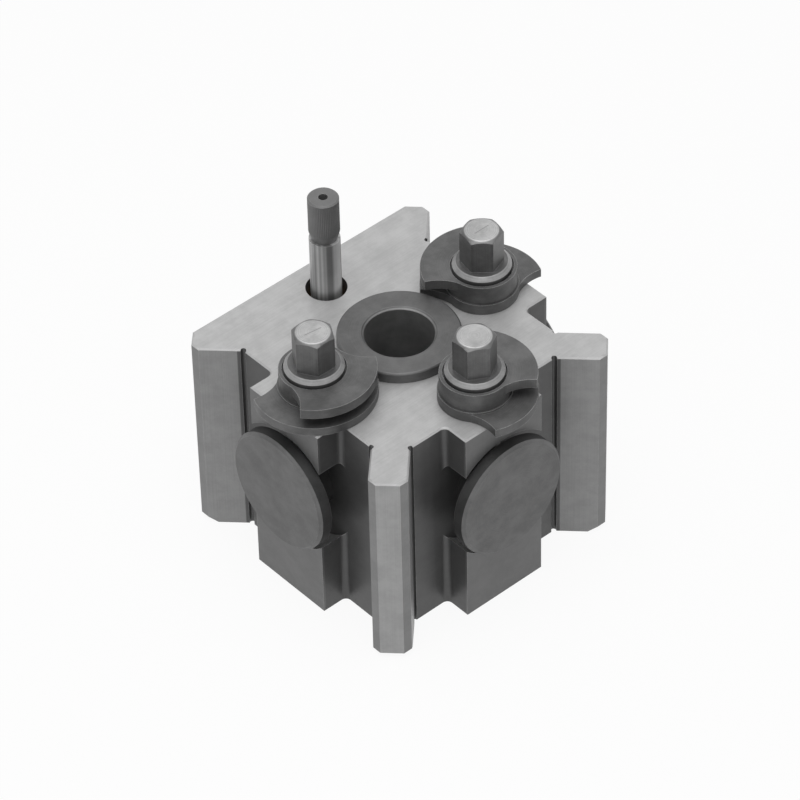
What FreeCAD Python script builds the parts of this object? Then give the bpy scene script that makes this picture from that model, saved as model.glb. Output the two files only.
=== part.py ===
# Quick-change lathe tool post with three tool stations, as a parametric document.
#
# The frame is the body's own: the centre bore's axis is Z, the base lies on Z = 0 and +Z is up.
# The three stations face -X (left), -Y (front) and +X (right). The fourth side, +Y, is plain and
# carries the index pin. Four ribs run out along the diagonals. Beside each station block their
# flanks make the vee guides that a tool holder slides down. In each block stands a clamping
# spindle with a hexagon, two lobed discs and an eccentric, which draws a round-headed bolt
# inwards as it turns, and with it the holder that hooks over the head.
import FreeCAD, Part
import os
import Sketcher
from FreeCAD import Placement, Rotation, Vector

UP = Vector(0, 0, 1)
UPRIGHT = Rotation()
OUTWARD = Rotation(Vector(0, 1, 0), 90)
STATIONS = {"left": 180, "front": -90, "right": 0}
FULL_TURN = 360
TOUCHING = 0.01  # millimetres, below which two positions count as one

doc = FreeCAD.newDocument("tool_post")
sheet = doc.addObject("Spreadsheet::Sheet", "Sizes")

# Driving dimensions in millimetres; starts, spans, turns of a piece and angles are in degrees.
# Each cutter runs past the face that it opens by the overshoot.
SIZES = {
    "height": 74.0,
    "rib_width": 12.0,
    "rib_reach": 64.0,
    "rib_chamfer": 2.3,
    "foot_chamfer": 2.2,
    "pocket_floor": 38.0,
    "pocket_relief": 0.9,
    "pocket_fillet": 2.0,
    "block_half": 15.6,
    "block_face": 47.2,
    "plain_setback": 1.17,
    "edge_break": 0.5,
    "bore_radius": 11.0,
    "bush_radius": 15.0,
    "ring_radius": 19.4,
    "ring_height": 3.8,
    "bore_bevel": 0.8,
    "spindle_reach": 34.4,
    "hex_flats": 12.0,
    "hex_length": 12.4,
    "hex_top_radius": 4.9,
    "right_hexagon_turn": 19.0,
    "flange_radius": 9.4,
    "flange_height": 3.4,
    "flange_bevel": 1.3,
    "journal_radius": 8.0,
    "shank_radius": 7.45,
    "eccentric_radius": 5.3,
    "eccentric_offset": 2.0,
    "eccentric_angle": -35.0,
    "eccentric_overhang": 0.6,
    "tail_radius": 5.0,
    "tail_end": 3.6,
    "running_fit": 0.03,
    "upper_bush_radius": 10.5,
    "upper_bush_length": 8.0,
    "lower_bush_radius": 8.2,
    "lower_bush_top": 20.0,
    "lower_bush_length": 12.0,
    "shank_bore": 7.7,
    "tail_pocket": 9.4,
    "washer_radius": 8.8,
    "washer_height": 1.4,
    "clip_radius": 7.0,
    "clip_height": 1.2,
    "clip_depth": 0.9,
    "disc_lift": 0.1,
    "lower_hub_radius": 11.6,
    "lower_hub_height": 3.8,
    "lower_disc_radius": 19.4,
    "lower_disc_height": 3.1,
    "lower_lobe_start": -57.0,
    "lower_lobe_span": 236.0,
    "upper_hub_radius": 11.0,
    "upper_disc_radius": 19.2,
    "upper_disc_height": 3.4,
    "upper_disc_top": 10.3,
    "upper_lobe_start": 2.0,
    "upper_lobe_span": 184.0,
    "right_upper_lobe_turn": 9.0,
    "lobe_sweep_radius": 14.0,
    "lobe_sweep_bite": 0.15,
    "flange_seat_depth": 1.1,
    "flange_seat_gap": 0.5,
    "dowel_radius": 1.25,
    "head_level": 43.0,
    "head_radius": 20.5,
    "head_height": 5.0,
    "head_face": 51.3,
    "head_bevel": 1.0,
    "recess_radius": 22.0,
    "stem_radius": 11.0,
    "stem_bore_setback": 16.2,
    "draw_room": 3.9,
    "yoke_gap": 0.2,
    "spring_pocket_radius": 5.5,
    "spring_pocket_depth": 6.0,
    "spring_radius": 4.4,
    "spring_wire": 0.4,
    "bolt_spring_turns": 3.0,
    "pin_spring_turns": 5.0,
    "pin_spring_gap": 0.15,
    "pin_reach": 34.2,
    "pin_radius": 4.95,
    "pin_hole_radius": 6.6,
    "pin_hole_floor": 22.0,
    "pin_shoulder": 38.0,
    "pin_tip_radius": 4.0,
    "pin_tip_end": 0.5,
    "knob_bottom": 20.6,
    "knob_length": 16.2,
    "knob_bevel": 0.5,
    "knob_foot_setback": 0.9,
    "knob_foot_height": 3.0,
    "knob_drill_radius": 1.6,
    "spigot_radius": 3.0,
    "spigot_length": 12.0,
    "guide_depth": 8.0,
    "guide_length": 16.0,
    "collar_radius": 6.3,
    "collar_height": 3.0,
    "overshoot": 1.0,
}
for row, (alias, value) in enumerate(SIZES.items(), start=1):
    sheet.set("A%d" % row, alias)
    sheet.set("B%d" % row, "%g" % value)
    sheet.setAlias("B%d" % row, alias)
doc.recompute()

nodes = []


def bound(text):
    """Turn a size formula into an expression that reads the sheet."""
    out = []
    word = ""
    for mark in text + " ":
        if mark.isalnum() or mark == "_":
            word += mark
            continue
        out.append("Sizes." + word if word in SIZES else word)
        out.append(mark)
        word = ""
    return "".join(out).strip()


def value_of(text):
    """The present value of a size formula, as a plain number."""
    result = sheet.evalExpression(bound(text))
    return float(getattr(result, "Value", result))


def bind(item, **formulas):
    """Bind properties of an object to size formulas."""
    for name, text in formulas.items():
        item.setExpression(name, bound(text))
    return item


def seat(item, station="right", along="0", across="0", up="0", turn=UPRIGHT):
    """Place an object in a station's frame: along points outward, across runs anticlockwise."""
    angle = STATIONS[station]
    around = Rotation(UP, angle)
    item.Placement = Placement(Vector(), around.multiply(turn))
    out = around.multVec(Vector(1, 0, 0))
    side = around.multVec(Vector(0, 1, 0))
    item.setExpression("Placement.Base.x", bound("%d * (%s) + %d * (%s)" % (
        round(out.x), along, round(side.x), across)))
    item.setExpression("Placement.Base.y", bound("%d * (%s) + %d * (%s)" % (
        round(out.y), along, round(side.y), across)))
    item.setExpression("Placement.Base.z", bound(up))
    return item


def cylinder(name, radius, height, **place):
    item = doc.addObject("Part::Cylinder", name)
    bind(item, Radius=radius, Height=height)
    return seat(item, **place)


def joined(name, items):
    item = doc.addObject("Part::MultiFuse", name)
    item.Shapes = items
    item.Refine = True
    return item


def cut(name, base, tool):
    item = doc.addObject("Part::Cut", name)
    item.Base = base
    item.Tool = tool
    item.Refine = True
    return item


def node(item, label):
    """Name an object as a finished piece."""
    item.Label = label
    nodes.append(item)
    return item


def plane_of(body, role):
    for feature in body.Origin.OriginFeatures:
        if feature.Role == role:
            return feature
    raise RuntimeError("no plane " + role)


def outline(body, name, role, corners):
    """Draw a closed outline whose every corner is dimensioned from the origin."""
    sketch = body.newObject("Sketcher::SketchObject", name)
    sketch.AttachmentSupport = (plane_of(body, role), [""])
    sketch.MapMode = "FlatFace"
    points = [Vector(value_of(x), value_of(y), 0) for x, y in corners]
    count = len(points)
    for index in range(count):
        sketch.addGeometry(Part.LineSegment(points[index], points[(index + 1) % count]), False)
    for index in range(count):
        sketch.addConstraint(Sketcher.Constraint("Coincident", index, 2, (index + 1) % count, 1))
    for index, (x, y) in enumerate(corners):
        for kind, text, size in (("DistanceX", x, points[index].x), ("DistanceY", y, points[index].y)):
            number = sketch.addConstraint(Sketcher.Constraint(kind, -1, 1, index, 1, size))
            title = "corner%d_%s" % (index, kind[-1].lower())
            sketch.renameConstraint(number, title)
            sketch.setExpression("Constraints." + title, bound(text))
    return sketch


def turned(name, corners):
    """A body turned from a half section, drawn on the XZ plane."""
    body = doc.addObject("PartDesign::Body", name)
    sketch = outline(body, name + "_section", "XZ_Plane", corners)
    revolution = body.newObject("PartDesign::Revolution", name + "_turning")
    revolution.Profile = sketch
    revolution.ReferenceAxis = (sketch, ["V_Axis"])
    revolution.Angle = FULL_TURN
    return body


def ring(name, inner, outer, low, high):
    """A plain turned ring between two heights."""
    return turned(name, [(inner, low), (outer, low), (outer, high), (inner, high)])


# Body


def flipped(formula):
    """The same size with its sign changed."""
    return formula[1:] if formula.startswith("-") else "-" + formula


def plan_corners():
    """The body's plan, anticlockwise from the front rib, as size formulas."""
    floor_end = "(pocket_floor - rib_width / sqrt(2))"
    far = "((rib_reach - rib_chamfer + rib_width / 2) / sqrt(2))"
    side_near = "((rib_reach - rib_chamfer - rib_width / 2) / sqrt(2))"
    end_near = "((rib_reach + rib_chamfer - rib_width / 2) / sqrt(2))"
    plain_face = "(%s - plain_setback)" % far
    plain_end = "(rib_reach * sqrt(2) - %s)" % plain_face
    right = [
        ("pocket_floor", flipped(floor_end)), ("pocket_floor", "-block_half"),
        ("block_face", "-block_half"), ("block_face", "block_half"),
        ("pocket_floor", "block_half"), ("pocket_floor", floor_end),
    ]
    front = [(y, flipped(x)) for x, y in right]
    left = [(flipped(x), flipped(y)) for x, y in right]
    back_far = flipped(far)
    return (
        [(flipped(end_near), back_far), (flipped(side_near), back_far)] + front
        + [(side_near, back_far), (end_near, back_far), (far, flipped(end_near)),
           (far, flipped(side_near))] + right
        + [(far, side_near), (far, end_near), (plain_end, plain_face),
           (flipped(plain_end), plain_face), (back_far, end_near), (back_far, side_near)] + left
        + [(back_far, flipped(side_near)), (back_far, flipped(end_near))]
    )


def near(a, b):
    return abs(a - b) < TOUCHING


def upright_edges(shape, test):
    """Names of the vertical straight edges whose plan position passes a test."""
    names = []
    for number, edge in enumerate(shape.Edges, start=1):
        first, last = edge.Vertexes[0].Point, edge.Vertexes[-1].Point
        if near(first.x, last.x) and near(first.y, last.y) and not near(first.z, last.z):
            if test(first.x, first.y):
                names.append("Edge%d" % number)
    return names


def level_edges(shape, level, test):
    """Names of the edges that lie at one height and whose middle passes a test."""
    names = []
    for number, edge in enumerate(shape.Edges, start=1):
        box = edge.BoundBox
        if near(box.ZMin, level) and near(box.ZMax, level):
            if test(box.Center.x, box.Center.y):
                names.append("Edge%d" % number)
    return names


def dressed(body, kind, name, names, size_name, formula):
    """A fillet or chamfer on named edges of the body's present tip."""
    base = body.Tip
    item = body.newObject(kind, name)
    item.Base = (base, names)
    bind(item, **{size_name: formula})
    doc.recompute()
    return item


def block():
    """The block: ribs, station blocks and pockets from one plan, with its edges dressed."""
    body = doc.addObject("PartDesign::Body", "block")
    sketch = outline(body, "plan", "XY_Plane", plan_corners())
    pad = body.newObject("PartDesign::Pad", "block_pad")
    pad.Profile = sketch
    bind(pad, Length="height")
    doc.recompute()
    half = value_of("block_half")
    floor = value_of("pocket_floor")
    reach = value_of("rib_reach - rib_chamfer")
    height = value_of("height")

    def inner_corner(x, y):
        spans = sorted((abs(x), abs(y)))
        return near(spans[0], half) and near(spans[1], floor)

    def rib_end(x, y):
        return (x * x + y * y) ** 0.5 > reach - value_of("overshoot")

    dressed(body, "PartDesign::Fillet", "pocket_fillets",
            upright_edges(body.Tip.Shape, inner_corner), "Radius", "pocket_fillet")
    dressed(body, "PartDesign::Chamfer", "foot_chamfers",
            level_edges(body.Tip.Shape, 0.0, rib_end), "Size", "foot_chamfer")
    dressed(body, "PartDesign::Chamfer", "top_chamfers",
            level_edges(body.Tip.Shape, height, lambda x, y: True), "Size", "edge_break")
    return body


def relief_cutters():
    """Undercut grooves where the rib flanks meet the pocket floors, for the holder's corners."""
    cutters = []
    for station in STATIONS:
        for hand, sign in (("a", "-"), ("b", "")):
            cutters.append(cylinder(
                "relief_%s_%s" % (station, hand), "pocket_relief", "height + 2 * overshoot",
                station=station, along="pocket_floor",
                across=sign + "(pocket_floor - rib_width / sqrt(2))", up="-overshoot"))
    return cutters


def station_cutters(station):
    """The spindle's stepped hole, the bolt's bore and the round recess for its head."""
    tag = "_" + station
    bore_end = "spindle_reach - stem_bore_setback"
    return [
        cylinder("upper_bush_seat" + tag, "upper_bush_radius", "upper_bush_length + overshoot",
                 station=station, along="spindle_reach", up="height - upper_bush_length"),
        cylinder("shank_hole" + tag, "shank_bore", "height",
                 station=station, along="spindle_reach", up="lower_bush_top - overshoot"),
        cylinder("lower_bush_seat" + tag, "lower_bush_radius", "lower_bush_length + overshoot",
                 station=station, along="spindle_reach",
                 up="lower_bush_top - lower_bush_length - overshoot"),
        cylinder("tail_pocket" + tag, "tail_pocket",
                 "lower_bush_top - lower_bush_length + overshoot",
                 station=station, along="spindle_reach", up="-overshoot"),
        cylinder("stem_bore" + tag, "stem_radius + running_fit", "pocket_floor",
                 station=station, along=bore_end, up="head_level", turn=OUTWARD),
        cylinder("head_recess" + tag, "recess_radius", "block_face",
                 station=station, along="pocket_floor", up="head_level", turn=OUTWARD),
    ]


def post_body():
    cutters = relief_cutters()
    for station in STATIONS:
        cutters += station_cutters(station)
    cutters.append(cylinder("centre_bore", "bush_radius", "height + 2 * overshoot",
                            up="-overshoot"))
    cutters.append(cylinder("pin_hole", "pin_hole_radius", "height", across="pin_reach",
                            up="pin_hole_floor"))
    cutters.append(cylinder("pin_tip_hole", "pin_tip_radius + running_fit", "height",
                            across="pin_reach", up="-overshoot"))
    node(cut("post", block(), joined("body_cutters", cutters)), "post_body")


def centre_bush():
    """The bush through the post, whose wide ring is the seat of the lathe's clamp nut."""
    top = "(height + ring_height)"
    node(turned("bush", [
        ("bore_radius", "0"), ("bush_radius", "0"), ("bush_radius", "height"),
        ("ring_radius", "height"), ("ring_radius", top + " - edge_break"),
        ("ring_radius - edge_break", top), ("bore_radius + bore_bevel", top),
        ("bore_radius", top + " - bore_bevel"),
    ]), "centre_bush")


# Clamping spindles and what turns with them


def spindle_dowel(name, station):
    """The dowel's cylinder, half in the spindle and half in the discs."""
    return cylinder(name, "dowel_radius", "upper_disc_top - flange_seat_depth - disc_lift",
                    station=station, along="spindle_reach", across="journal_radius",
                    up="height + disc_lift")


def clamp_spindle(station):
    """Hexagon, flange, journal, eccentric and tail in one piece."""
    tag = "_" + station
    flange_low = "(height + upper_disc_top - flange_seat_depth)"
    flange_top = "(%s + flange_height)" % flange_low
    bolt_top = "(head_level + stem_radius + eccentric_overhang)"
    bolt_low = "(head_level - stem_radius - eccentric_overhang)"
    upper = turned("spindle_upper" + tag, [
        ("0", bolt_top), ("shank_radius", bolt_top), ("shank_radius", "height - upper_bush_length"),
        ("journal_radius", "height - upper_bush_length"), ("journal_radius", flange_low),
        ("flange_radius", flange_low), ("flange_radius", flange_top + " - flange_bevel"),
        ("flange_radius - flange_bevel", flange_top), ("0", flange_top),
    ])
    seat(upper, station, along="spindle_reach")
    clip_low = "(lower_bush_top - lower_bush_length - washer_height - clip_height)"
    groove = "(tail_radius - clip_depth)"
    lower = turned("spindle_lower" + tag, [
        ("0", "tail_end"), ("tail_radius - edge_break", "tail_end"),
        ("tail_radius", "tail_end + edge_break"), ("tail_radius", clip_low), (groove, clip_low),
        (groove, clip_low + " + clip_height"), ("tail_radius", clip_low + " + clip_height"),
        ("tail_radius", "lower_bush_top"), ("shank_radius", "lower_bush_top"),
        ("shank_radius", bolt_low), ("0", bolt_low),
    ])
    seat(lower, station, along="spindle_reach")
    eccentric = cylinder("eccentric" + tag, "eccentric_radius",
                         "2 * (stem_radius + eccentric_overhang)", station=station, up=bolt_low,
                         along="spindle_reach + eccentric_offset * cos(eccentric_angle * 1deg)",
                         across="eccentric_offset * sin(eccentric_angle * 1deg)")
    hexagon = doc.addObject("Part::Prism", "hexagon" + tag)
    hexagon.Polygon = 6
    bind(hexagon, Circumradius="hex_flats / sqrt(3)", Height="hex_length")
    twist = value_of("right_hexagon_turn") if station == "right" else 0
    seat(hexagon, station, along="spindle_reach", up=flange_top, turn=Rotation(UP, twist))
    cone_height = "(hex_length + flange_height)"
    point = doc.addObject("Part::Cone", "hexagon_point" + tag)
    bind(point, Radius1="hex_top_radius + %s * sqrt(3)" % cone_height, Radius2="hex_top_radius",
         Height=cone_height)
    seat(point, station, along="spindle_reach",
         up="%s + hex_length - %s" % (flange_top, cone_height))
    tip = doc.addObject("Part::Common", "hexagon_end" + tag)
    tip.Base = hexagon
    tip.Tool = point
    blank = joined("spindle_blank" + tag, [upper, lower, eccentric, tip])
    node(cut("spindle" + tag, blank, spindle_dowel("spindle_dowel_hole" + tag, station)),
         "clamp_spindle" + tag)


def lobed_disc(name, station, low, hub, hub_height, radius, plate_low, plate_height, start, span):
    """A hub with a lobe that sweeps out of it along an arc at each end."""
    tag = "_" + station
    boss = cylinder(name + "_hub" + tag, hub, hub_height, station=station, along="spindle_reach",
                    up=low)
    lobe = cylinder(name + "_lobe" + tag, radius, plate_height, station=station,
                    along="spindle_reach", up=plate_low)
    bind(lobe, Angle=span)
    lobe.Placement = Placement(lobe.Placement.Base, Rotation(UP, STATIONS[station] + value_of(start)))
    reach = "(%s + lobe_sweep_radius - lobe_sweep_bite)" % hub
    sweeps = []
    for end, angle in (("start", start), ("end", "%s + %s" % (start, span))):
        sweeps.append(cylinder(
            "%s_sweep_%s%s" % (name, end, tag), "lobe_sweep_radius",
            "%s + 2 * overshoot" % plate_height, station=station,
            along="spindle_reach + %s * cos((%s) * 1deg)" % (reach, angle),
            across="%s * sin((%s) * 1deg)" % (reach, angle), up=plate_low + " - overshoot"))
    swept = cut(name + "_swept" + tag, lobe, joined(name + "_sweeps" + tag, sweeps))
    return joined(name + "_form" + tag, [boss, swept])


def lobed_discs(station):
    """The lower disc lies on the block; the upper one clears the centre ring."""
    tag = "_" + station
    lower = lobed_disc("lower", station, "height + disc_lift", "lower_hub_radius",
                       "lower_hub_height - disc_lift", "lower_disc_radius", "height + disc_lift",
                       "lower_disc_height - disc_lift", "lower_lobe_start", "lower_lobe_span")
    upper_start = "upper_lobe_start"
    if station == "right":
        upper_start += " + right_upper_lobe_turn"
    upper = lobed_disc("upper", station, "height + lower_hub_height", "upper_hub_radius",
                       "upper_disc_top - lower_hub_height", "upper_disc_radius",
                       "height + upper_disc_top - upper_disc_height", "upper_disc_height",
                       upper_start, "upper_lobe_span")
    for label, form in (("lobe_disc_lower", lower), ("lobe_disc_upper", upper)):
        bore = cylinder(label + "_bore" + tag, "journal_radius", "height", station=station,
                        along="spindle_reach", up="height - overshoot")
        flange_seat = cylinder(label + "_flange_seat" + tag, "flange_radius + flange_seat_gap",
                               "height", station=station, along="spindle_reach",
                               up="height + upper_disc_top - flange_seat_depth")
        tools = joined(label + "_cutters" + tag,
                       [bore, flange_seat, spindle_dowel(label + "_dowel_hole" + tag, station)])
        node(cut(label + "_cut" + tag, form, tools), label + tag)


def spindle_bearings(station):
    """Two bushes pressed into the block, a thrust washer and the clip that keeps the spindle in."""
    tag = "_" + station
    upper = ring("upper_bush" + tag, "journal_radius + running_fit", "upper_bush_radius",
                 "height - upper_bush_length", "height")
    bush_low = "(lower_bush_top - lower_bush_length)"
    lower = ring("lower_bush" + tag, "tail_radius + running_fit", "lower_bush_radius",
                 bush_low, "lower_bush_top - running_fit")
    washer_low = "(%s - washer_height)" % bush_low
    washer = ring("washer" + tag, "tail_radius + running_fit", "washer_radius", washer_low, bush_low)
    clip = ring("clip" + tag, "tail_radius - clip_depth", "clip_radius",
                washer_low + " - clip_height", washer_low)
    for item, label in ((upper, "spindle_bush_upper"), (lower, "spindle_bush_lower"),
                        (washer, "thrust_washer"), (clip, "spindle_clip")):
        node(seat(item, station, along="spindle_reach"), label + tag)


# Draw bolts and their springs


def draw_bolt(station):
    """A round head on a stem, with a rounded slot across the stem for the eccentric."""
    tag = "_" + station
    head_back = "(head_face - head_height)"
    stem_end = "(spindle_reach - stem_bore_setback + draw_room)"
    pocket_end = "(%s + spring_pocket_depth)" % stem_end
    blank = turned("bolt_blank" + tag, [
        ("0", pocket_end), ("spring_pocket_radius", pocket_end),
        ("spring_pocket_radius", stem_end), ("stem_radius - edge_break", stem_end),
        ("stem_radius", stem_end + " + edge_break"), ("stem_radius", head_back),
        ("head_radius - edge_break", head_back), ("head_radius", head_back + " + edge_break"),
        ("head_radius", "head_face - head_bevel"), ("head_radius - head_bevel", "head_face"),
        ("0", "head_face"),
    ])
    seat(blank, station, up="head_level", turn=OUTWARD)
    middle = "(spindle_reach + eccentric_offset * cos(eccentric_angle * 1deg))"
    half = "(eccentric_radius + yoke_gap)"
    bottom = "(head_level - stem_radius - overshoot)"
    height = "2 * (stem_radius + overshoot)"
    ends = [cylinder("yoke_end%d%s" % (side, tag), half, height, station=station, along=middle,
                     across="%d * eccentric_offset" % side, up=bottom) for side in (-1, 1)]
    flat = doc.addObject("Part::Box", "yoke_flat" + tag)
    bind(flat, Length="2 * " + half, Width="2 * eccentric_offset", Height=height)
    seat(flat, station, along=middle + " - " + half, across="-eccentric_offset", up=bottom)
    node(cut("bolt" + tag, blank, joined("yoke" + tag, ends + [flat])), "draw_bolt" + tag)


def coil_spring(name, radius, low, high, turns):
    """A square-wire compression spring between two heights of its own axis."""
    coil = doc.addObject("Part::Helix", name + "_line")
    span = "((%s) - (%s) - 2 * spring_wire)" % (high, low)
    bind(coil, Radius=radius, Height=span, Pitch="%s / %s" % (span, turns))
    wire = doc.addObject("Part::RegularPolygon", name + "_wire")
    wire.Polygon = 4
    bind(wire, Circumradius="spring_wire * sqrt(2)")
    upright = Rotation(Vector(1, 0, 0), 90)
    wire.Placement = Placement(Vector(), upright.multiply(Rotation(UP, 45)))
    wire.setExpression("Placement.Base.x", bound(radius))
    doc.recompute()
    sweep = doc.addObject("Part::Sweep", name)
    sweep.Sections = [wire]
    sweep.Spine = (coil, ["Edge%d" % (number + 1) for number in range(len(coil.Shape.Edges))])
    sweep.Solid = True
    sweep.Frenet = True
    return sweep


def bolt_spring(station):
    seat_end = "spindle_reach - stem_bore_setback"
    spring = coil_spring("bolt_spring_" + station, "spring_radius", seat_end,
                         seat_end + " + draw_room + spring_pocket_depth", "bolt_spring_turns")
    seat(spring, station, along=seat_end + " + spring_wire", up="head_level", turn=OUTWARD)
    node(spring, "return_spring_" + station)


# Index pin


def index_pin():
    """A sprung pin on the plain side, pushed down by its knob to index the post on its base."""
    knob_low = "(height + knob_bottom)"
    knob_top = "(%s + knob_length)" % knob_low
    spigot_top = "(%s + spigot_length)" % knob_low
    pin = turned("pin", [
        ("0", "pin_tip_end"), ("pin_tip_radius - edge_break", "pin_tip_end"),
        ("pin_tip_radius", "pin_tip_end + edge_break"), ("pin_tip_radius", "pin_shoulder"),
        ("pin_radius", "pin_shoulder"), ("pin_radius", knob_low), ("spigot_radius", knob_low),
        ("spigot_radius", spigot_top), ("0", spigot_top),
    ])
    knob = turned("knob", [
        ("0", spigot_top), ("spigot_radius", spigot_top), ("spigot_radius", knob_low),
        ("pin_radius - knob_foot_setback", knob_low),
        ("pin_radius", knob_low + " + knob_foot_height"),
        ("pin_radius", knob_top + " - knob_bevel"), ("pin_radius - knob_bevel", knob_top),
        ("knob_drill_radius", knob_top), ("0", knob_top + " - knob_drill_radius"),
    ])
    guide_top = "(height - guide_depth)"
    guide_low = "(%s - guide_length)" % guide_top
    guide = ring("guide", "pin_radius + running_fit", "pin_hole_radius", guide_low, guide_top)
    collar = ring("collar", "pin_radius", "collar_radius", guide_low + " - collar_height", guide_low)
    spring = coil_spring("pin_spring", "pin_tip_radius + pin_spring_gap + spring_wire",
                         "pin_hole_floor", "pin_shoulder", "pin_spring_turns")
    for item, label in ((pin, "index_pin"), (knob, "index_knob"), (guide, "index_guide"),
                        (collar, "index_collar")):
        node(seat(item, across="pin_reach"), label)
    node(seat(spring, across="pin_reach", up="pin_hole_floor + spring_wire"), "index_spring")


def post():
    post_body()
    centre_bush()
    for station in STATIONS:
        clamp_spindle(station)
        lobed_discs(station)
        node(spindle_dowel("dowel_" + station, station), "disc_dowel_" + station)
        spindle_bearings(station)
        draw_bolt(station)
        bolt_spring(station)
    index_pin()


def write():
    doc.recompute()
    for item in doc.Objects:
        if "Invalid" in item.State or "Error" in item.State:
            raise SystemExit("failed object: %s %s" % (item.Label, item.State))
    os.makedirs("parts", exist_ok=True)
    for item in nodes:
        shape = item.Shape
        if shape.isNull() or not shape.isValid():
            raise SystemExit("bad shape: " + item.Label)
        shape.exportStep("parts/%s.step" % item.Label)
        print("%-28s %8.1f mm3 %d solid" % (item.Label, shape.Volume, len(shape.Solids)))


post()
write()
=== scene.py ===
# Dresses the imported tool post: finishes for its steel pieces, rounded edges, a knurled index knob,
# scribed lines on the hexagons and round-wire springs, and the stage that it stands on.
# Lengths are in metres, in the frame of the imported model.

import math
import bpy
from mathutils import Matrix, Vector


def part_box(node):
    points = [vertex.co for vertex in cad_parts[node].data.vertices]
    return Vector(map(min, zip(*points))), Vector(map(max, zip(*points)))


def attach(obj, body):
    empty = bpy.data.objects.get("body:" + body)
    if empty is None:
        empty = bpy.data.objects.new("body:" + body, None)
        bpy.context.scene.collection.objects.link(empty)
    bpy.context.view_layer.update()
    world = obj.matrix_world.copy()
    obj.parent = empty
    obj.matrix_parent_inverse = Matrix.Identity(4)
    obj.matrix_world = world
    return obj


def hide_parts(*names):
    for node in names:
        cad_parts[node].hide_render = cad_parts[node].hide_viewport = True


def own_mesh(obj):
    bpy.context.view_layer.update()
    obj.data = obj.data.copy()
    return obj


bl_info = {
    "name": "Lathe tool post dressing",
    "version": (1, 0, 0),
    "blender": (4, 5, 0),
    "location": "View3D > Sidebar > Tool Post",
    "description": "Finishes, rounded edges, knurling and springs for a three-station tool post",
    "category": "Object",
}

import bpy
from mathutils import Matrix, Vector

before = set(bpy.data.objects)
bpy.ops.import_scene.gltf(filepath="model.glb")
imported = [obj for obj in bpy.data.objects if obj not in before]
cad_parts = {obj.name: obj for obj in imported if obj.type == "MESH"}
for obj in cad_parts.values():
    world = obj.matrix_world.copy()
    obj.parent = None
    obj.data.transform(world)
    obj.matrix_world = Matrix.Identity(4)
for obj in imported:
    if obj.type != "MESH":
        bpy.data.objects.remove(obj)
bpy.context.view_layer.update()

MM = 0.001
STATIONS = {"left": (-1.0, 0.0), "front": (0.0, -1.0), "right": (1.0, 0.0)}
UP = Vector((0.0, 0.0, 1.0))

# Where the body's greys of painted shade and the ring's finishes change, measured from the bore's
# axis, and over what width
RELIEF_END = 39.4 * MM
BLOCK_END = 46.4 * MM
RIB_END = 56.0 * MM
RIB_TIP = 63.2 * MM
BORE_EDGE = 11.4 * MM
CHANGE_WIDTH = 0.3 * MM

# How far a flange's top and its clearance stand above the upper disc, and how far down the side of a
# hexagon its bright end, a painted highlight, reaches
FLANGE_RISE = 3.0 * MM
BRIGHT_END = 0.3 * MM

# How often the marks, stains and the pin's painted reflection streaks change in a metre along X, Y
# and Z
LEVEL_GRINDING = (45.0, 2600.0, 45.0)
UPRIGHT_GRINDING = (2300.0, 2300.0, 30.0)
SATIN = (4200.0, 4200.0, 4200.0)
STAINS = (110.0, 110.0, 140.0)
WORN_PATCHES = (320.0, 320.0, 320.0)
PIN_REFLECTION_STREAKS = (260.0, 260.0, 0.0)

# Between which sizes of a part of its normal a face goes over to another finish; all but the
# grinding marks' sizes set where painted shade and painted highlights change
LEVEL_MARKS = (0.6, 0.8)
LEVEL_FACES = (0.45, 0.6)
SLANTED_FACES = (0.5, 0.62)
FLANGE_FLATS = (0.8, 0.95)
UPWARD_FACES = (0.25, 0.5)
OUTWARD_FACES = (0.2, 0.5)

# Keeps X and Y of a place, so that its length is the distance from an upright axis
ACROSS = (1.0, 1.0, 0.0)

# Edges that turn less than this stay smooth; the others are rounded
SHARP_ANGLE = math.radians(32.0)

# Points nearer than this are one point, and faces that turn less than this are one face
TOUCHING = 0.002 * MM
LEVEL_ANGLE = math.radians(0.4)


# Sizes and colours that a user may change

def swatch(name, description, grey):
    """A colour property whose default is a neutral grey."""
    return bpy.props.FloatVectorProperty(
        name=name, description=description, subtype="COLOR", size=3,
        min=0.0, max=1.0, default=(grey, grey, grey))


def length(name, description, value):
    """A length property."""
    return bpy.props.FloatProperty(
        name=name, description=description, subtype="DISTANCE", unit="LENGTH",
        min=0.0, default=value)


def share(name, description, value):
    """A property between nought and one."""
    return bpy.props.FloatProperty(
        name=name, description=description, subtype="FACTOR", min=0.0, max=1.0, default=value)


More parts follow.
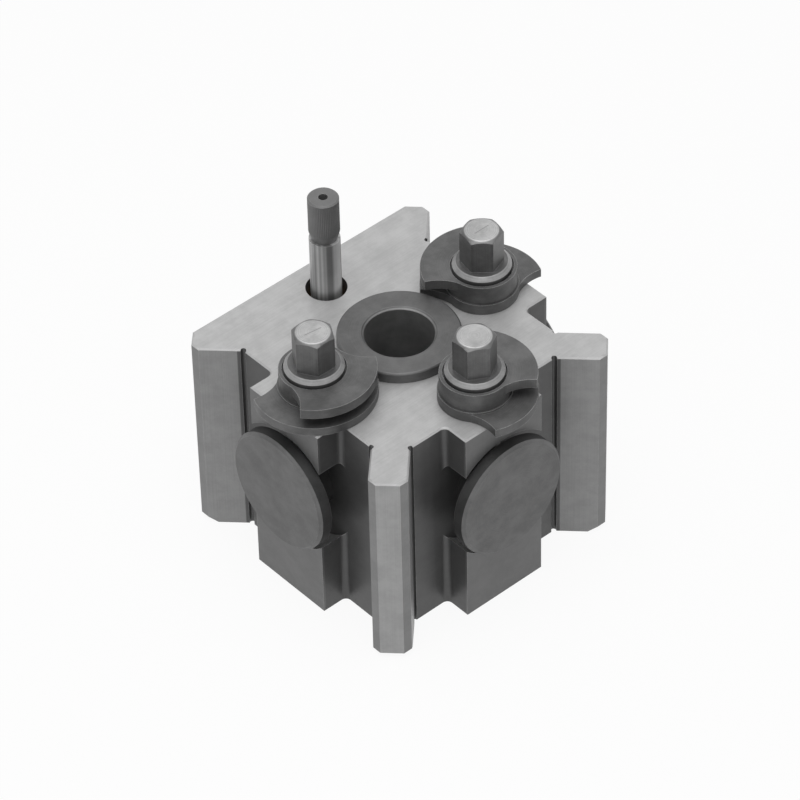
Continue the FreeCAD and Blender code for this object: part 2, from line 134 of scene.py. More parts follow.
class SteelFinishes(bpy.types.PropertyGroup):
    """Colours and polish of the steels and the bronze, with the greys of painted shade and painted
    highlight among them
    """

    ground: swatch("Ground steel", "Top of the body", 0.47)
    # The rib ends, rib flanks, rib bevels, block faces and pockets step down from the top's grey:
    # painted shade by which way a face looks and where it lies, in the pockets partly the milled
    # steel's own tone
    tips: swatch("Rib ends", "End faces of the ribs", 0.36)
    ribs: swatch("Rib steel", "Flanks of the ribs", 0.285)
    bevels: swatch("Rib bevels", "Bevels of the rib ends and the plain side", 0.21)
    faces: swatch("Block faces", "Outer faces of the three station blocks", 0.145)
    milled_and_painted_shade: swatch("Milled steel", "Pockets, block sides and recesses of the body", 0.10)
    blackened: swatch("Blackened steel", "Centre ring and faces of the draw bolts", 0.13)
    bore: swatch("Bore steel", "Inside of the centre bush", 0.24)
    # Painted shade on the draw bolts' head sides and stems
    shaded_bolt_sides: swatch("Bolt sides", "Sides of the draw bolts' heads and stems", 0.06)
    discs: swatch("Disc steel", "Lobed discs and their dowels", 0.118)
    knob: swatch("Knob steel", "Index knob", 0.17)
    # Painted highlight on the hexagons' ends; the thrust washers' own bright steel
    bright: swatch("Bright steel", "Ends of the hexagons and the thrust washers", 0.42)
    # The pin's light grey and its dark streaks are painted reflections
    pin: swatch("Pin steel", "Index pin and its collar", 0.62)
    streaks: swatch("Pin streaks", "Dark streaks down the index pin", 0.21)
    # Painted highlight on the flanges' bevels; painted shade on the hexagons' sides and bevels and
    # on the flanges' flats
    flanges: swatch("Flange bevels", "Bevels of the spindles' flanges", 0.27)
    hexagons: swatch("Hexagon steel", "Sides and bevels of the hexagons, flats of the flanges", 0.13)
    worn: swatch("Worn edge", "Bare steel where an edge has been handled", 0.42)
    wire: swatch("Spring wire", "Springs, clips and scribed lines", 0.30)
    ground_roughness: share("Ground roughness", "Roughness of the ground faces", 0.42)
    blackened_roughness: share("Blackened roughness", "Roughness of the blackened faces", 0.48)
    bright_roughness: share("Bright roughness", "Roughness of the polished faces", 0.38)
    bronze: bpy.props.FloatVectorProperty(
        name="Bronze", description="Bushes in the body", subtype="COLOR", size=3,
        min=0.0, max=1.0, default=(0.52, 0.33, 0.15))


class EdgeSizes(bpy.types.PropertyGroup):
    """How far the edges are rounded and worn"""

    body: length("Body edges", "Width of the rounding on the body's edges", 0.16 * MM)
    small: length("Small edges", "Width of the rounding on discs, heads and spindles", 0.14 * MM)
    wear: length("Wear", "Reach of the bare steel from an edge", 0.35 * MM)


class KnobSizes(bpy.types.PropertyGroup):
    """Knurl of the index knob"""

    teeth: bpy.props.IntProperty(
        name="Teeth", description="Knurl teeth round the knob", min=12, max=96, default=54)
    depth: length("Depth", "Depth of the knurl", 0.12 * MM)
    drill: length("Centre hole", "Radius of the centre-drilled hole in its top", 1.45 * MM)
    drill_depth: length("Hole depth", "Depth of the centre-drilled hole", 3.0 * MM)
    foot: length("Foot", "Height of the tapered foot", 3.0 * MM)
    foot_setback: length("Foot setback", "How far the foot draws in", 0.9 * MM)


class SpringSizes(bpy.types.PropertyGroup):
    """Wire and coils of the springs"""

    wire: length("Wire radius", "Radius of the spring wire", 0.4 * MM)
    bolt_turns: bpy.props.FloatProperty(
        name="Bolt spring turns", description="Coils of each draw bolt's spring", min=2.0,
        default=4.0)
    pin_turns: bpy.props.FloatProperty(
        name="Pin spring turns", description="Coils of the index pin's spring", min=2.0,
        default=6.5)


class StageSettings(bpy.types.PropertyGroup):
    """Floor, lamps and camera"""

    floor: swatch("Floor", "Floor and backdrop colour", 0.93)
    glow: share("Floor glow", "How much of the floor shows plain white", 0.92)
    sky: share("Sky", "Strength of the even light from all round", 0.30)
    key: bpy.props.FloatProperty(
        name="Key lamp", description="Power of the large lamp overhead", unit="POWER",
        min=0.0, default=8.2)
    fill: bpy.props.FloatProperty(
        name="Fill lamp", description="Power of the lamp beside the camera", unit="POWER",
        min=0.0, default=0.27)
    focal_mm: bpy.props.FloatProperty(
        name="Focal length", description="Lens of the camera in millimetres, on a 36 mm sensor",
        min=10.0, default=216.2)


# Building finishes

def added(tree, kind, sockets=None, **settings):
    """A node with its settings, its values and its links in one call."""
    item = tree.nodes.new(kind)
    for name, value in settings.items():
        setattr(item, name, value)
    for name, value in (sockets or {}).items():
        if isinstance(value, bpy.types.NodeSocket):
            tree.links.new(value, item.inputs[name])
        else:
            item.inputs[name].default_value = value
    return item


def calc(tree, operation, first, second=0.0):
    """One step of arithmetic."""
    item = added(tree, "ShaderNodeMath", {0: first, 1: second}, operation=operation)
    return item.outputs[0]


def spread(tree, value, low, high, to_low=0.0, to_high=1.0):
    """Carries a range of a value over to another range, smoothly."""
    item = added(tree, "ShaderNodeMapRange",
                 {"Value": value, "From Min": low, "From Max": high,
                  "To Min": to_low, "To Max": to_high},
                 interpolation_type="SMOOTHSTEP")
    return item.outputs["Result"]


def blended(tree, factor, first, second):
    """A colour between two colours."""
    item = added(tree, "ShaderNodeMix", data_type="RGBA")
    for index, value in ((0, factor), (6, first), (7, second)):
        if isinstance(value, bpy.types.NodeSocket):
            tree.links.new(value, item.inputs[index])
        else:
            item.inputs[index].default_value = value if index == 0 else (*value, 1.0)
    return item.outputs[2]


def scaled(tree, place, factors):
    """The place with each axis stretched."""
    item = added(tree, "ShaderNodeVectorMath", {0: place, 1: factors}, operation="MULTIPLY")
    return item.outputs["Vector"]


def grain(tree, place, detail=3.0, roughness=0.6):
    """Random grain between nought and one at a place that is already scaled."""
    item = added(tree, "ShaderNodeTexNoise",
                 {"Vector": place, "Scale": 1.0, "Detail": detail, "Roughness": roughness})
    return item.outputs["Fac"]


def object_place(tree):
    """The place on the piece, in its own frame."""
    return added(tree, "ShaderNodeTexCoord").outputs["Object"]


def off_axis(tree, place):
    """The distance of a place from the bore's axis."""
    item = added(tree, "ShaderNodeVectorMath", {0: scaled(tree, place, ACROSS)},
                 operation="LENGTH")
    return item.outputs["Value"]


def facing(tree):
    """The size of each part of the face's own normal."""
    normal = added(tree, "ShaderNodeTexCoord").outputs["Normal"]
    size = added(tree, "ShaderNodeVectorMath", {0: normal}, operation="ABSOLUTE")
    return added(tree, "ShaderNodeSeparateXYZ", {0: size.outputs["Vector"]}).outputs


def grinding_marks(tree, place):
    """Fine straight marks: along X on level faces, upright on the others."""
    level = spread(tree, facing(tree)["Z"], *LEVEL_MARKS)
    flat_marks = grain(tree, scaled(tree, place, LEVEL_GRINDING))
    upright_marks = grain(tree, scaled(tree, place, UPRIGHT_GRINDING))
    item = added(tree, "ShaderNodeMix", {0: level, 2: upright_marks, 3: flat_marks})
    return item.outputs[0]


def turning_marks(centre, keep, pitch):
    """Fine rings round an axis through a centre; keep has nought along the axis."""
    def marks(tree, place):
        out = added(tree, "ShaderNodeVectorMath", {0: place, 1: centre}, operation="SUBTRACT")
        flat = scaled(tree, out.outputs["Vector"], keep)
        distance = added(tree, "ShaderNodeVectorMath", {0: flat}, operation="LENGTH")
        rings = added(tree, "ShaderNodeTexNoise",
                      {"W": calc(tree, "DIVIDE", distance.outputs["Value"], pitch),
                       "Scale": 1.0, "Detail": 2.0}, noise_dimensions="1D")
        return rings.outputs["Fac"]
    return marks


def satin_grain(tree, place):
    """The even, fine grain of a blackened or blasted face."""
    return grain(tree, scaled(tree, place, SATIN), 2.0)


def edge_wear(tree, reach, amount):
    """How far a place is bare: most on outer edges, broken up by grain, none in corners."""
    rounded = added(tree, "ShaderNodeBevel", {"Radius": reach}, samples=4).outputs["Normal"]
    normal = added(tree, "ShaderNodeNewGeometry").outputs["Normal"]
    likeness = added(tree, "ShaderNodeVectorMath", {0: rounded, 1: normal},
                     operation="DOT_PRODUCT").outputs["Value"]
    edge = spread(tree, likeness, 0.99, 0.86)
    open_air = added(tree, "ShaderNodeAmbientOcclusion", {"Distance": 2.0 * reach}, samples=4)
    convex = spread(tree, open_air.outputs["AO"], 0.62, 0.9)
    patches = grain(tree, scaled(tree, object_place(tree), WORN_PATCHES), 4.0)
    broken = spread(tree, patches, 0.3, 0.62, 0.35, 1.0)
    held = calc(tree, "MULTIPLY", calc(tree, "MULTIPLY", edge, convex), broken)
    return calc(tree, "MULTIPLY", held, amount)


def finish(name, base, marks, roughness, metallic, wear=0.5, relief=0.012 * MM, mottle=0.1):
    """A metal finish. base is a colour, or a function that draws one from the place; mottle is
    how far stains and marks lighten and darken it."""
    sizes = bpy.context.scene.post_edges
    material = bpy.data.materials.new(name)
    material.use_nodes = True
    tree = material.node_tree
    tree.nodes.clear()
    place = object_place(tree)
    ground = base(tree, place) if callable(base) else tuple(base)
    lines = marks(tree, place)
    stain = grain(tree, scaled(tree, place, STAINS), 6.0, 0.7)
    shade = calc(tree, "ADD", spread(tree, stain, 0.3, 0.7, 1.0 - mottle, 1.0 + mottle),
                 spread(tree, lines, 0.3, 0.7, -mottle / 2.0, mottle / 2.0))
    tinted = added(tree, "ShaderNodeVectorMath", {0: ground, 3: shade}, operation="SCALE")
    bare = edge_wear(tree, sizes.wear, wear)
    colour = blended(tree, bare, tinted.outputs["Vector"],
                     tuple(bpy.context.scene.post_finishes.worn))
    rough = spread(tree, lines, 0.25, 0.75, roughness - 0.05, roughness + 0.06)
    bump = added(tree, "ShaderNodeBump", {"Height": lines, "Distance": relief, "Strength": 0.6})
    surface = added(tree, "ShaderNodeBsdfPrincipled",
                    {"Base Color": colour, "Roughness": rough, "Normal": bump.outputs["Normal"],
                     "Metallic": metallic})
    added(tree, "ShaderNodeOutputMaterial", {"Surface": surface.outputs[0]})
    return material


def past(tree, value, limit):
    """One where a distance is past a limit, nought short of it."""
    return spread(tree, value, limit - CHANGE_WIDTH / 2.0, limit + CHANGE_WIDTH / 2.0)


def body_steel_and_painted_shade(steels):
    """Ground steel on top; painted shade darkens the ribs and the plain side and, darkest, the
    pockets, where it lies over the milled steel's own tone.
    """
    def drawn(tree, place):
        parts = facing(tree)
        level = spread(tree, parts["Z"], *LEVEL_FACES)
        slanted = spread(tree, calc(tree, "MINIMUM", parts["X"], parts["Y"]), *SLANTED_FACES)
        at = added(tree, "ShaderNodeSeparateXYZ", {0: place}).outputs
        far = calc(tree, "MAXIMUM", calc(tree, "ABSOLUTE", at["X"]),
                   calc(tree, "ABSOLUTE", at["Y"]))
        out = off_axis(tree, place)
        flanks = calc(tree, "MULTIPLY", slanted, past(tree, far, RELIEF_END))
        ends = calc(tree, "MAXIMUM", past(tree, out, RIB_END), past(tree, at["Y"], BLOCK_END))
        blocks = blended(tree, past(tree, far, BLOCK_END), tuple(steels.milled_and_painted_shade),
                         tuple(steels.faces))
        bevelled = blended(tree, ends, blocks, tuple(steels.bevels))
        slopes = blended(tree, past(tree, out, RIB_TIP), tuple(steels.ribs), tuple(steels.tips))
        sides = blended(tree, flanks, bevelled, slopes)
        return blended(tree, level, sides, tuple(steels.ground))
    return drawn


def spindle_highlights_and_shade(steels, flange_top, top):
    """Painted highlight on the hexagon's end and the flange's bevel, painted shade on the flat of
    the flange and on the sides."""
    def drawn(tree, place):
        upward = facing(tree)["Z"]
        height = added(tree, "ShaderNodeSeparateXYZ", {0: place}).outputs["Z"]
        dark = tuple(steels.hexagons)
        flats = spread(tree, upward, *FLANGE_FLATS)
        flange = blended(tree, flats, tuple(steels.flanges), dark)
        hexagon = blended(tree, past(tree, height, top - BRIGHT_END), dark,
                          tuple(steels.bright))
        ends = blended(tree, past(tree, height, flange_top), flange, hexagon)
        return blended(tree, spread(tree, upward, *UPWARD_FACES), dark, ends)
    return drawn


def ring_colour(steels):
    """Blackened outside, barer in the bore."""
    def drawn(tree, place):
        outside = past(tree, off_axis(tree, place), BORE_EDGE)
        return blended(tree, outside, tuple(steels.bore), tuple(steels.blackened))
    return drawn


def bolt_face_and_side_shade(steels, axis):
    """Blackened on the head's face and bevel, with painted shade round its sides and on the stem."""
    def drawn(tree, place):
        outward = spread(tree, facing(tree)[axis], *OUTWARD_FACES)
        return blended(tree, outward, tuple(steels.shaded_bolt_sides), tuple(steels.blackened))
    return drawn


def pin_with_painted_reflections(steels):
    """Painted reflections: light and dark upright streaks, as a polished shaft shows them."""
    def drawn(tree, place):
        streaks = spread(tree, grain(tree, scaled(tree, place, PIN_REFLECTION_STREAKS), 2.0), 0.38, 0.62)
        return blended(tree, streaks, tuple(steels.streaks), tuple(steels.pin))
    return drawn


# Shaping helpers

def smoothing_group():
    """Shades smooth over gentle edges and keeps the sharp ones sharp."""
    name = "smooth_gentle_edges"
    if name in bpy.data.node_groups:
        return bpy.data.node_groups[name]
    group = bpy.data.node_groups.new(name, "GeometryNodeTree")
    group.interface.new_socket("Geometry", in_out="INPUT", socket_type="NodeSocketGeometry")
    group.interface.new_socket("Geometry", in_out="OUTPUT", socket_type="NodeSocketGeometry")
    start = group.nodes.new("NodeGroupInput")
    end = group.nodes.new("NodeGroupOutput")
    angle = group.nodes.new("GeometryNodeInputMeshEdgeAngle")
    gentle = added(group, "FunctionNodeCompare", data_type="FLOAT", operation="LESS_THAN")
    group.links.new(angle.outputs[0], gentle.inputs[0])
    gentle.inputs[1].default_value = SHARP_ANGLE
    faces = added(group, "GeometryNodeSetShadeSmooth", domain="FACE")
    edges = added(group, "GeometryNodeSetShadeSmooth", domain="EDGE")
    group.links.new(start.outputs[0], faces.inputs[0])
    group.links.new(faces.outputs[0], edges.inputs[0])
    group.links.new(gentle.outputs[0], edges.inputs["Shade Smooth"])
    group.links.new(edges.outputs[0], end.inputs[0])
    return group


def round_edges(item, width):
    """Welds a piece's faces together, rounds its sharp edges and evens its shading."""
    weld = item.modifiers.new("weld", "WELD")
    weld.merge_threshold = TOUCHING
    flats = item.modifiers.new("flats", "DECIMATE")
    flats.decimate_type = "DISSOLVE"
    flats.angle_limit = LEVEL_ANGLE
    bevel = item.modifiers.new("edges", "BEVEL")
    bevel.width = width
    bevel.segments = 2
    bevel.limit_method = "ANGLE"
    bevel.angle_limit = SHARP_ANGLE
    tips = item.modifiers.new("tips", "WELD")
    tips.merge_threshold = TOUCHING
    shade(item)


def shade(item):
    """Evens a piece's shading between its sharp edges."""
    smooth = item.modifiers.new("smooth", "NODES")
    smooth.node_group = smoothing_group()
    even = item.modifiers.new("even", "WEIGHTED_NORMAL")
    even.keep_sharp = True


def dress(node, material, width=0.0):
    """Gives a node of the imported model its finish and, where a width is given, rounded edges."""
    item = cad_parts[node]
    for slot in item.material_slots:
        slot.material = material
    if width:
        round_edges(item, width)


def middle(node):
    """The middle of a node's box."""
    low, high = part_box(node)
    return (Vector(low) + Vector(high)) / 2.0


def piece(name, mesh, material, body, stands_for=()):
    """A new piece that rides on a body."""
    item = bpy.data.objects.new(name, mesh)
    bpy.context.scene.collection.objects.link(item)
    item.data.materials.append(material)
    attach(item, body)
    for node in stands_for:
        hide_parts(node)
    return item


def mesh_of(name, vertices, faces):
    """A mesh from its points and faces."""
    mesh = bpy.data.meshes.new(name)
    mesh.from_pydata(vertices, [], faces)
    mesh.update()
    return mesh


def turned_mesh(name, centre, rows, count, radius_at):
    """A closed turned form. rows run from the foot's middle to the top's middle as
    (radius, height, knurl share); the first and the last row lie on the axis."""
    vertices = [(centre.x, centre.y, rows[0][1])]
    for radius, height, knurl in rows[1:-1]:
        for step in range(count):
            turn = 2.0 * math.pi * step / count
            reach = radius_at(radius, turn, knurl)
            vertices.append((centre.x + reach * math.cos(turn),
                             centre.y + reach * math.sin(turn), height))
    vertices.append((centre.x, centre.y, rows[-1][1]))
    faces = []
    loops = len(rows) - 2
    last = len(vertices) - 1
    for step in range(count):
        nxt = (step + 1) % count
        faces.append((0, 1 + nxt, 1 + step))
        for loop in range(loops - 1):
            low = 1 + loop * count
            high = low + count
            faces.append((low + step, low + nxt, high + nxt, high + step))
        top = 1 + (loops - 1) * count
        faces.append((top + step, top + nxt, last))
    return mesh_of(name, vertices, faces)


# Pieces

def knurled_knob(sizes, material):
    """The index knob: upright knurl, tapered foot and a centre-drilled top."""
    low, high = (Vector(corner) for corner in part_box("index_knob"))
    centre = (low + high) / 2.0
    radius = (high.x - low.x) / 2.0
    bevel = 0.5 * MM
    corner = 0.1 * MM
    foot_top = low.z + sizes.foot
    start = foot_top + 3.0 * corner
    end = high.z - bevel - 2.0 * corner
    fade = 0.4 * MM
    rim = 0.12 * MM
    narrowing = 0.85
    hole_foot = high.z - sizes.drill_depth
    cone = 0.6 * MM
    per_tooth = 6

    def radius_at(reach, turn, knurl):
        tooth = turn / (2.0 * math.pi) * sizes.teeth
        return reach - sizes.depth * knurl * abs(2.0 * (tooth % 1.0) - 1.0)

    rows = [(0.0, low.z, 0), (radius - sizes.foot_setback, low.z, 0),
            (radius - corner / 2.0, foot_top - corner, 0), (radius, start, 0),
            (radius, start + fade, 1), (radius, end - fade, 1), (radius, end, 0),
            (radius, high.z - bevel, 0), (radius - bevel, high.z, 0),
            (sizes.drill + rim, high.z, 0), (sizes.drill, high.z - corner, 0),
            (sizes.drill * narrowing, hole_foot, 0), (0.0, hole_foot - cone, 0)]
    mesh = turned_mesh("index_knob_knurled", centre, rows, sizes.teeth * per_tooth, radius_at)
    item = piece("index_knob_knurled", mesh, material, "index_plunger",
                 ["index_knob"])
    shade(item)
    return item


def file_mark(station, angle, size, material):
    """A shallow scribed line across the top of a spindle's hexagon."""
    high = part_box("clamp_spindle_" + station)[1]
    centre = middle("clamp_spindle_" + station)
    along = Vector((math.cos(angle), math.sin(angle), 0.0))
    side = UP.cross(along)
    tip = along * size / 2.0
    shoulder = tip * 0.9
    wide = side * 0.19 * MM
    raised = UP * 0.02 * MM
    base = Vector((centre.x, centre.y, high[2]))
    ring = [base + tip, base + shoulder + wide, base - shoulder + wide, base - tip,
            base - shoulder - wide, base + shoulder - wide]
    vertices = [point + raised for point in ring] + [point - raised for point in ring]
    count = len(ring)
    faces = [tuple(range(count)), tuple(reversed(range(count, 2 * count)))]
    for step in range(count):
        nxt = (step + 1) % count
        faces.append((step, step + count, nxt + count, nxt))
    mesh = mesh_of("file_mark_" + station, vertices, faces)
    return piece("file_mark_" + station, mesh, material, "spindle_" + station)


def coil_mesh(name, foot, along, reach, wire, span, turns):
    """A compression spring of round wire whose end coils lie closed. reach is the coils'
    radius to the wire's middle, wire the wire's radius and span the spring's length."""
    side = UP if abs(along.z) < 0.5 else Vector((1.0, 0.0, 0.0))
    cross = along.cross(side)
    closed = 0.8
    steps_per_turn, ring = 28, 10
    steps = round(turns * steps_per_turn)
    thick = 2.0 * wire
    lift = (span - thick - 2.0 * thick * closed) / (turns - 2.0 * closed)

    def height(turn):
        low = min(turn, closed) * thick
        high = max(0.0, turn - (turns - closed)) * thick
        return wire + low + high + min(max(turn - closed, 0.0), turns - 2.0 * closed) * lift

    vertices = []
    for step in range(steps + 1):
        turn = turns * step / steps
        angle = 2.0 * math.pi * turn
        out = side * math.cos(angle) + cross * math.sin(angle)
        centre = foot + along * height(turn) + out * reach
        for corner in range(ring):
            bend = 2.0 * math.pi * corner / ring
            vertices.append(centre + (out * math.cos(bend) + along * math.sin(bend)) * wire)
    faces = [tuple(range(ring)), tuple(steps * ring + corner for corner in reversed(range(ring)))]
    for step in range(steps):
        for corner in range(ring):
            near, far = step * ring, (step + 1) * ring
            nxt = (corner + 1) % ring
            faces.append((near + corner, far + corner, far + nxt, near + nxt))
    return mesh_of(name, vertices, faces)


def coil_spring(node, along, turns, material):
    """A spring in a node's place that stands on the post."""
    wire = bpy.context.scene.post_springs.wire
    along = Vector(along)
    low, high = (Vector(corner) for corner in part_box(node))
    size = high - low
    span = abs(size.dot(along))
    foot = (low + high) / 2.0 - along * span / 2.0
    across = size - along * size.dot(along)
    reach = max(across) / 2.0 - wire
    mesh = coil_mesh(node + "_coil", foot, along, reach, wire, span, turns)
    item = piece(node + "_coil", mesh, material, "post", [node])
    shade(item)
    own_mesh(item)
    return item


class TOOLPOST_OT_body(bpy.types.Operator):
    """Finish the ribbed body: ground top and ribs, with painted shade on the upright faces, darkest
    in the milled pockets
    """

    bl_idname = "tool_post.body"
    bl_label = "Body"

    def execute(self, context):
        steels = context.scene.post_finishes
        material = finish("body_steel", body_steel_and_painted_shade(steels), grinding_marks,
                          steels.ground_roughness, metallic=0.35, wear=0.7, mottle=0.09)
        dress("post_body", material, context.scene.post_edges.body)
        return {"FINISHED"}


class TOOLPOST_OT_ring(bpy.types.Operator):
    """Finish the centre bush and its raised ring"""

    bl_idname = "tool_post.ring"
    bl_label = "Centre ring"

    def execute(self, context):
        steels = context.scene.post_finishes
        marks = turning_marks((0.0, 0.0, 0.0), ACROSS, 0.22 * MM)
        material = finish("ring_steel", ring_colour(steels), marks,
                          steels.blackened_roughness, metallic=0.6, wear=0.35,
                          mottle=0.16)
        dress("centre_bush", material, context.scene.post_edges.small)
        return {"FINISHED"}


class TOOLPOST_OT_discs(bpy.types.Operator):
    """Finish the lobed discs and dowels with turning marks round their spindles, edges bare"""

    bl_idname = "tool_post.discs"
    bl_label = "Lobed discs"

    def execute(self, context):
        steels = context.scene.post_finishes
        for station in STATIONS:
            centre = middle("clamp_spindle_" + station)
            marks = turning_marks((centre.x, centre.y, 0.0), ACROSS, 0.2 * MM)
            material = finish("disc_steel_" + station, steels.discs, marks,
                              steels.blackened_roughness, metallic=0.6, wear=0.85,
                              mottle=0.22)
            for level in ("lower", "upper"):
                dress("lobe_disc_%s_%s" % (level, station), material,
                      context.scene.post_edges.small)
            dress("disc_dowel_" + station, material)
        return {"FINISHED"}


class TOOLPOST_OT_spindles(bpy.types.Operator):
    """Finish the clamping spindles with painted highlights and shade, and scribe a line across two
    of the hexagons
    """

    bl_idname = "tool_post.spindles"
    bl_label = "Clamping spindles"

    def execute(self, context):
        steels = context.scene.post_finishes
        scribed = finish("scribed_line", steels.wire, satin_grain, 0.5, metallic=0.5,
                         wear=0.0)
        for station in STATIONS:
            centre = middle("clamp_spindle_" + station)
            marks = turning_marks((centre.x, centre.y, 0.0), ACROSS, 0.3 * MM)
            flange_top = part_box("lobe_disc_upper_" + station)[1][2] + FLANGE_RISE
            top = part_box("clamp_spindle_" + station)[1][2]
            material = finish("spindle_steel_" + station,
                              spindle_highlights_and_shade(steels, flange_top, top), marks,
                              steels.bright_roughness, metallic=0.5, wear=0.4,
                              relief=0.006 * MM, mottle=0.2)
            dress("clamp_spindle_" + station, material, context.scene.post_edges.small)
        file_mark("left", math.radians(-8.0), 6.4 * MM, scribed)
        file_mark("right", math.radians(0.0), 6.0 * MM, scribed)
        return {"FINISHED"}


class TOOLPOST_OT_bolts(bpy.types.Operator):
    """Finish the draw bolts with turning marks on their round heads and painted shade on their sides
    """

    bl_idname = "tool_post.bolts"
    bl_label = "Draw bolts"

    def execute(self, context):
        steels = context.scene.post_finishes
        for station, (out_x, out_y) in STATIONS.items():
            centre = middle("draw_bolt_" + station)
            keep = (1.0 - abs(out_x), 1.0 - abs(out_y), 1.0)
            marks = turning_marks(tuple(centre), keep, 0.35 * MM)
            colour = bolt_face_and_side_shade(steels, "X" if out_x else "Y")
            material = finish("bolt_steel_" + station, colour, marks,
                              steels.blackened_roughness, metallic=0.5, wear=0.3,
                              mottle=0.18)
            dress("draw_bolt_" + station, material, context.scene.post_edges.small)
        return {"FINISHED"}


class TOOLPOST_OT_index_pin(bpy.types.Operator):
    """Paint reflection streaks on the index pin and give it a knurled knob"""

    bl_idname = "tool_post.index_pin"
    bl_label = "Index pin"

    def execute(self, context):
        steels = context.scene.post_finishes
        centre = middle("index_pin")
        marks = turning_marks((centre.x, centre.y, 0.0), ACROSS, 0.25 * MM)
        bright = finish("pin_steel", pin_with_painted_reflections(steels), grinding_marks,
                        steels.bright_roughness, metallic=0.4, wear=0.2, mottle=0.05)
        dark = finish("knob_steel", steels.knob, marks, steels.blackened_roughness,
                      metallic=0.4, wear=0.4)
        dress("index_pin", bright, context.scene.post_edges.small)
        dress("index_collar", bright)
        knurled_knob(context.scene.post_knob, dark)
        return {"FINISHED"}


class TOOLPOST_OT_inner(bpy.types.Operator):
    """Finish the bushes, washers and clips inside and wind the springs"""

    bl_idname = "tool_post.inner"
    bl_label = "Inner pieces"

    def execute(self, context):
        steels = context.scene.post_finishes
        springs = context.scene.post_springs
        bronze = finish("bush_bronze", steels.bronze, satin_grain, 0.4, metallic=0.9,
                        wear=0.2)
        wire = finish("spring_wire", steels.wire, satin_grain, 0.35, metallic=0.9, wear=0.1)
        washer = finish("washer_steel", steels.bright, satin_grain, 0.35, metallic=0.9,
                        wear=0.1)
        for station in STATIONS:
            dress("spindle_bush_upper_" + station, bronze)
            dress("spindle_bush_lower_" + station, bronze)
            dress("thrust_washer_" + station, washer)
            dress("spindle_clip_" + station, wire)
            coil_spring("return_spring_" + station, (*STATIONS[station], 0.0),
                        springs.bolt_turns, wire)
        dress("index_guide", bronze)
        coil_spring("index_spring", UP, springs.pin_turns, wire)
        return {"FINISHED"}


# Stage

FLOOR_HALF = 4.0
LAMP_AIM = (0.0, 0.0, 0.05)
KEY_PLACE = (-0.1, -0.05, 1.15)
KEY_SIZE = 1.0
FILL_PLACE = (-0.5, -0.28, 0.38)
FILL_SIZE = 0.4

# Where the camera stands, as azimuth and elevation in radians seen from a point in the post, and
# which way it looks back
CAMERA_FROM = Vector((0.0, 0.0, 0.04))
CAMERA_BEARING = (-0.7127, 0.7513)
CAMERA_DISTANCE = 1.5
VIEW_BEARING = (-0.7124, 0.7468)
VIEW_ROLL = -0.025


def bearing(azimuth, elevation):
    """The direction from the post towards an azimuth, nought at the front, and an elevation."""
    return Vector((math.sin(azimuth) * math.cos(elevation),
                   -math.cos(azimuth) * math.cos(elevation), math.sin(elevation)))


def camera_matrix(place, azimuth, elevation, roll):
    """A camera at a place that looks back along a bearing, turned about its own axis."""
    back = bearing(azimuth, elevation)
    right = UP.cross(back).normalized()
    up = back.cross(right)
    tilted = right * math.cos(roll) + up * math.sin(roll)
    upright = up * math.cos(roll) - right * math.sin(roll)
    turn = Matrix((tilted, upright, back)).transposed().to_4x4()
    return Matrix.Translation(place) @ turn


def lamp(name, place, aim, size, power):
    """A square lamp that looks at a point."""
    data = bpy.data.lights.new(name, "AREA")
    data.shape = "SQUARE"
    data.size = size
    data.energy = power
    item = bpy.data.objects.new(name, data)
    item.location = place
    item.rotation_euler = (Vector(aim) - Vector(place)).to_track_quat("-Z", "Y").to_euler()
    bpy.context.scene.collection.objects.link(item)
    return item


def seen_plainly(tree):
    """One where the camera sees a place directly, in a reflection or through glass."""
    path = added(tree, "ShaderNodeLightPath").outputs
    mirrored = calc(tree, "MAXIMUM", path["Is Camera Ray"], path["Is Glossy Ray"])
    return calc(tree, "MAXIMUM", mirrored, path["Is Transmission Ray"])


def pale_world(sky):
    """White to the camera and in reflections, a softer even light to everything else."""
    world = bpy.data.worlds.new("studio")
    bpy.context.scene.world = world
    world.use_nodes = True
    tree = world.node_tree
    tree.nodes.clear()
    seen = seen_plainly(tree)
    strength = calc(tree, "ADD", calc(tree, "MULTIPLY", seen, 1.0 - sky), sky)
    shell = added(tree, "ShaderNodeBackground",
                  {"Color": (1.0, 1.0, 1.0, 1.0), "Strength": strength})
    added(tree, "ShaderNodeOutputWorld", {"Surface": shell.outputs[0]})


def pale_floor(colour, white):
    """A floor that shows white and still takes a soft shadow."""
    half = FLOOR_HALF
    corners = [(-half, -half, 0.0), (half, -half, 0.0), (half, half, 0.0), (-half, half, 0.0)]
    mesh = mesh_of("floor", corners, [(0, 1, 2, 3)])
    item = bpy.data.objects.new("floor", mesh)
    bpy.context.scene.collection.objects.link(item)
    material = bpy.data.materials.new("floor_paper")
    material.use_nodes = True
    tree = material.node_tree
    tree.nodes.clear()
    seen = seen_plainly(tree)
    paper = added(tree, "ShaderNodeBsdfDiffuse", {"Color": (*colour, 1.0)})
    glow = added(tree, "ShaderNodeEmission", {"Color": (1.0, 1.0, 1.0, 1.0), "Strength": 1.0})
    mixed = added(tree, "ShaderNodeMixShader", {0: calc(tree, "MULTIPLY", seen, white)})
    tree.links.new(paper.outputs[0], mixed.inputs[1])
    tree.links.new(glow.outputs[0], mixed.inputs[2])
    added(tree, "ShaderNodeOutputMaterial", {"Surface": mixed.outputs[0]})
    item.data.materials.append(material)


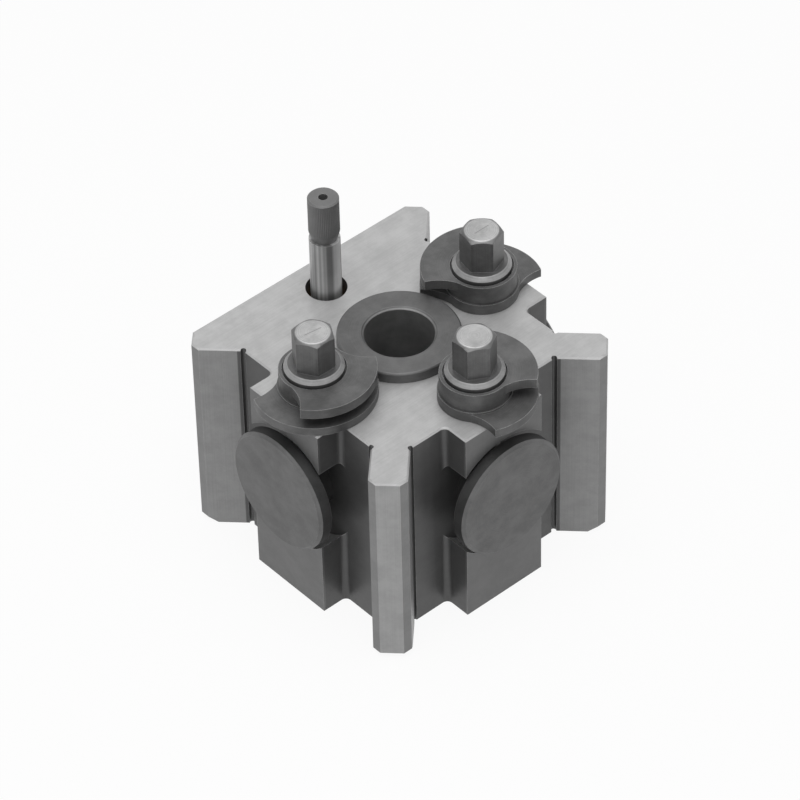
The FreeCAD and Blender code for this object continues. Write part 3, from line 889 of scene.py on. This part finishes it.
class TOOLPOST_OT_stage(bpy.types.Operator):
    """Set the floor, the lamps, the even light and the camera"""

    bl_idname = "tool_post.stage"
    bl_label = "Stage"

    def execute(self, context):
        scene = context.scene
        stage = scene.post_stage
        pale_floor(stage.floor, stage.glow)
        pale_world(stage.sky)
        lamp("key_lamp", KEY_PLACE, LAMP_AIM, KEY_SIZE, stage.key)
        lamp("fill_lamp", FILL_PLACE, LAMP_AIM, FILL_SIZE, stage.fill)
        data = bpy.data.cameras.new("camera")
        data.sensor_width = 36.0
        data.lens = stage.focal_mm
        data.clip_start = 0.05
        data.clip_end = 20.0
        camera = bpy.data.objects.new("camera", data)
        scene.collection.objects.link(camera)
        place = CAMERA_FROM + bearing(*CAMERA_BEARING) * CAMERA_DISTANCE
        camera.matrix_world = camera_matrix(place, *VIEW_BEARING, VIEW_ROLL)
        scene.camera = camera
        scene.view_settings.view_transform = "Standard"
        return {"FINISHED"}


class TOOLPOST_PT_sidebar(bpy.types.Panel):
    """Lists the steps that dress the tool post"""

    bl_idname = "TOOLPOST_PT_sidebar"
    bl_label = "Tool Post"
    bl_space_type = "VIEW_3D"
    bl_region_type = "UI"
    bl_category = "Tool Post"

    def draw(self, context):
        for step in STEPS:
            self.layout.operator(step.bl_idname)
        for group in (context.scene.post_finishes, context.scene.post_edges,
                      context.scene.post_knob, context.scene.post_springs,
                      context.scene.post_stage):
            box = self.layout.box()
            for name in group.__annotations__:
                box.prop(group, name)


STEPS = (TOOLPOST_OT_body, TOOLPOST_OT_ring, TOOLPOST_OT_discs, TOOLPOST_OT_spindles,
         TOOLPOST_OT_bolts, TOOLPOST_OT_index_pin, TOOLPOST_OT_inner, TOOLPOST_OT_stage)
GROUPS = {"post_finishes": SteelFinishes, "post_edges": EdgeSizes, "post_knob": KnobSizes,
          "post_springs": SpringSizes, "post_stage": StageSettings}


def register():
    """Makes the settings, the steps and the panel known to Blender."""
    for name, group in GROUPS.items():
        bpy.utils.register_class(group)
        setattr(bpy.types.Scene, name, bpy.props.PointerProperty(type=group))
    for step in STEPS:
        bpy.utils.register_class(step)
    bpy.utils.register_class(TOOLPOST_PT_sidebar)


def unregister():
    """Takes them away again."""
    bpy.utils.unregister_class(TOOLPOST_PT_sidebar)
    for step in reversed(STEPS):
        bpy.utils.unregister_class(step)
    for name, group in reversed(list(GROUPS.items())):
        delattr(bpy.types.Scene, name)
        bpy.utils.unregister_class(group)


def main():
    """Dresses the post."""
    register()
    bpy.ops.tool_post.body()
    bpy.ops.tool_post.ring()
    bpy.ops.tool_post.discs()
    bpy.ops.tool_post.spindles()
    bpy.ops.tool_post.bolts()
    bpy.ops.tool_post.index_pin()
    bpy.ops.tool_post.inner()
    bpy.ops.tool_post.stage()


if __name__ == "__main__":
    main()
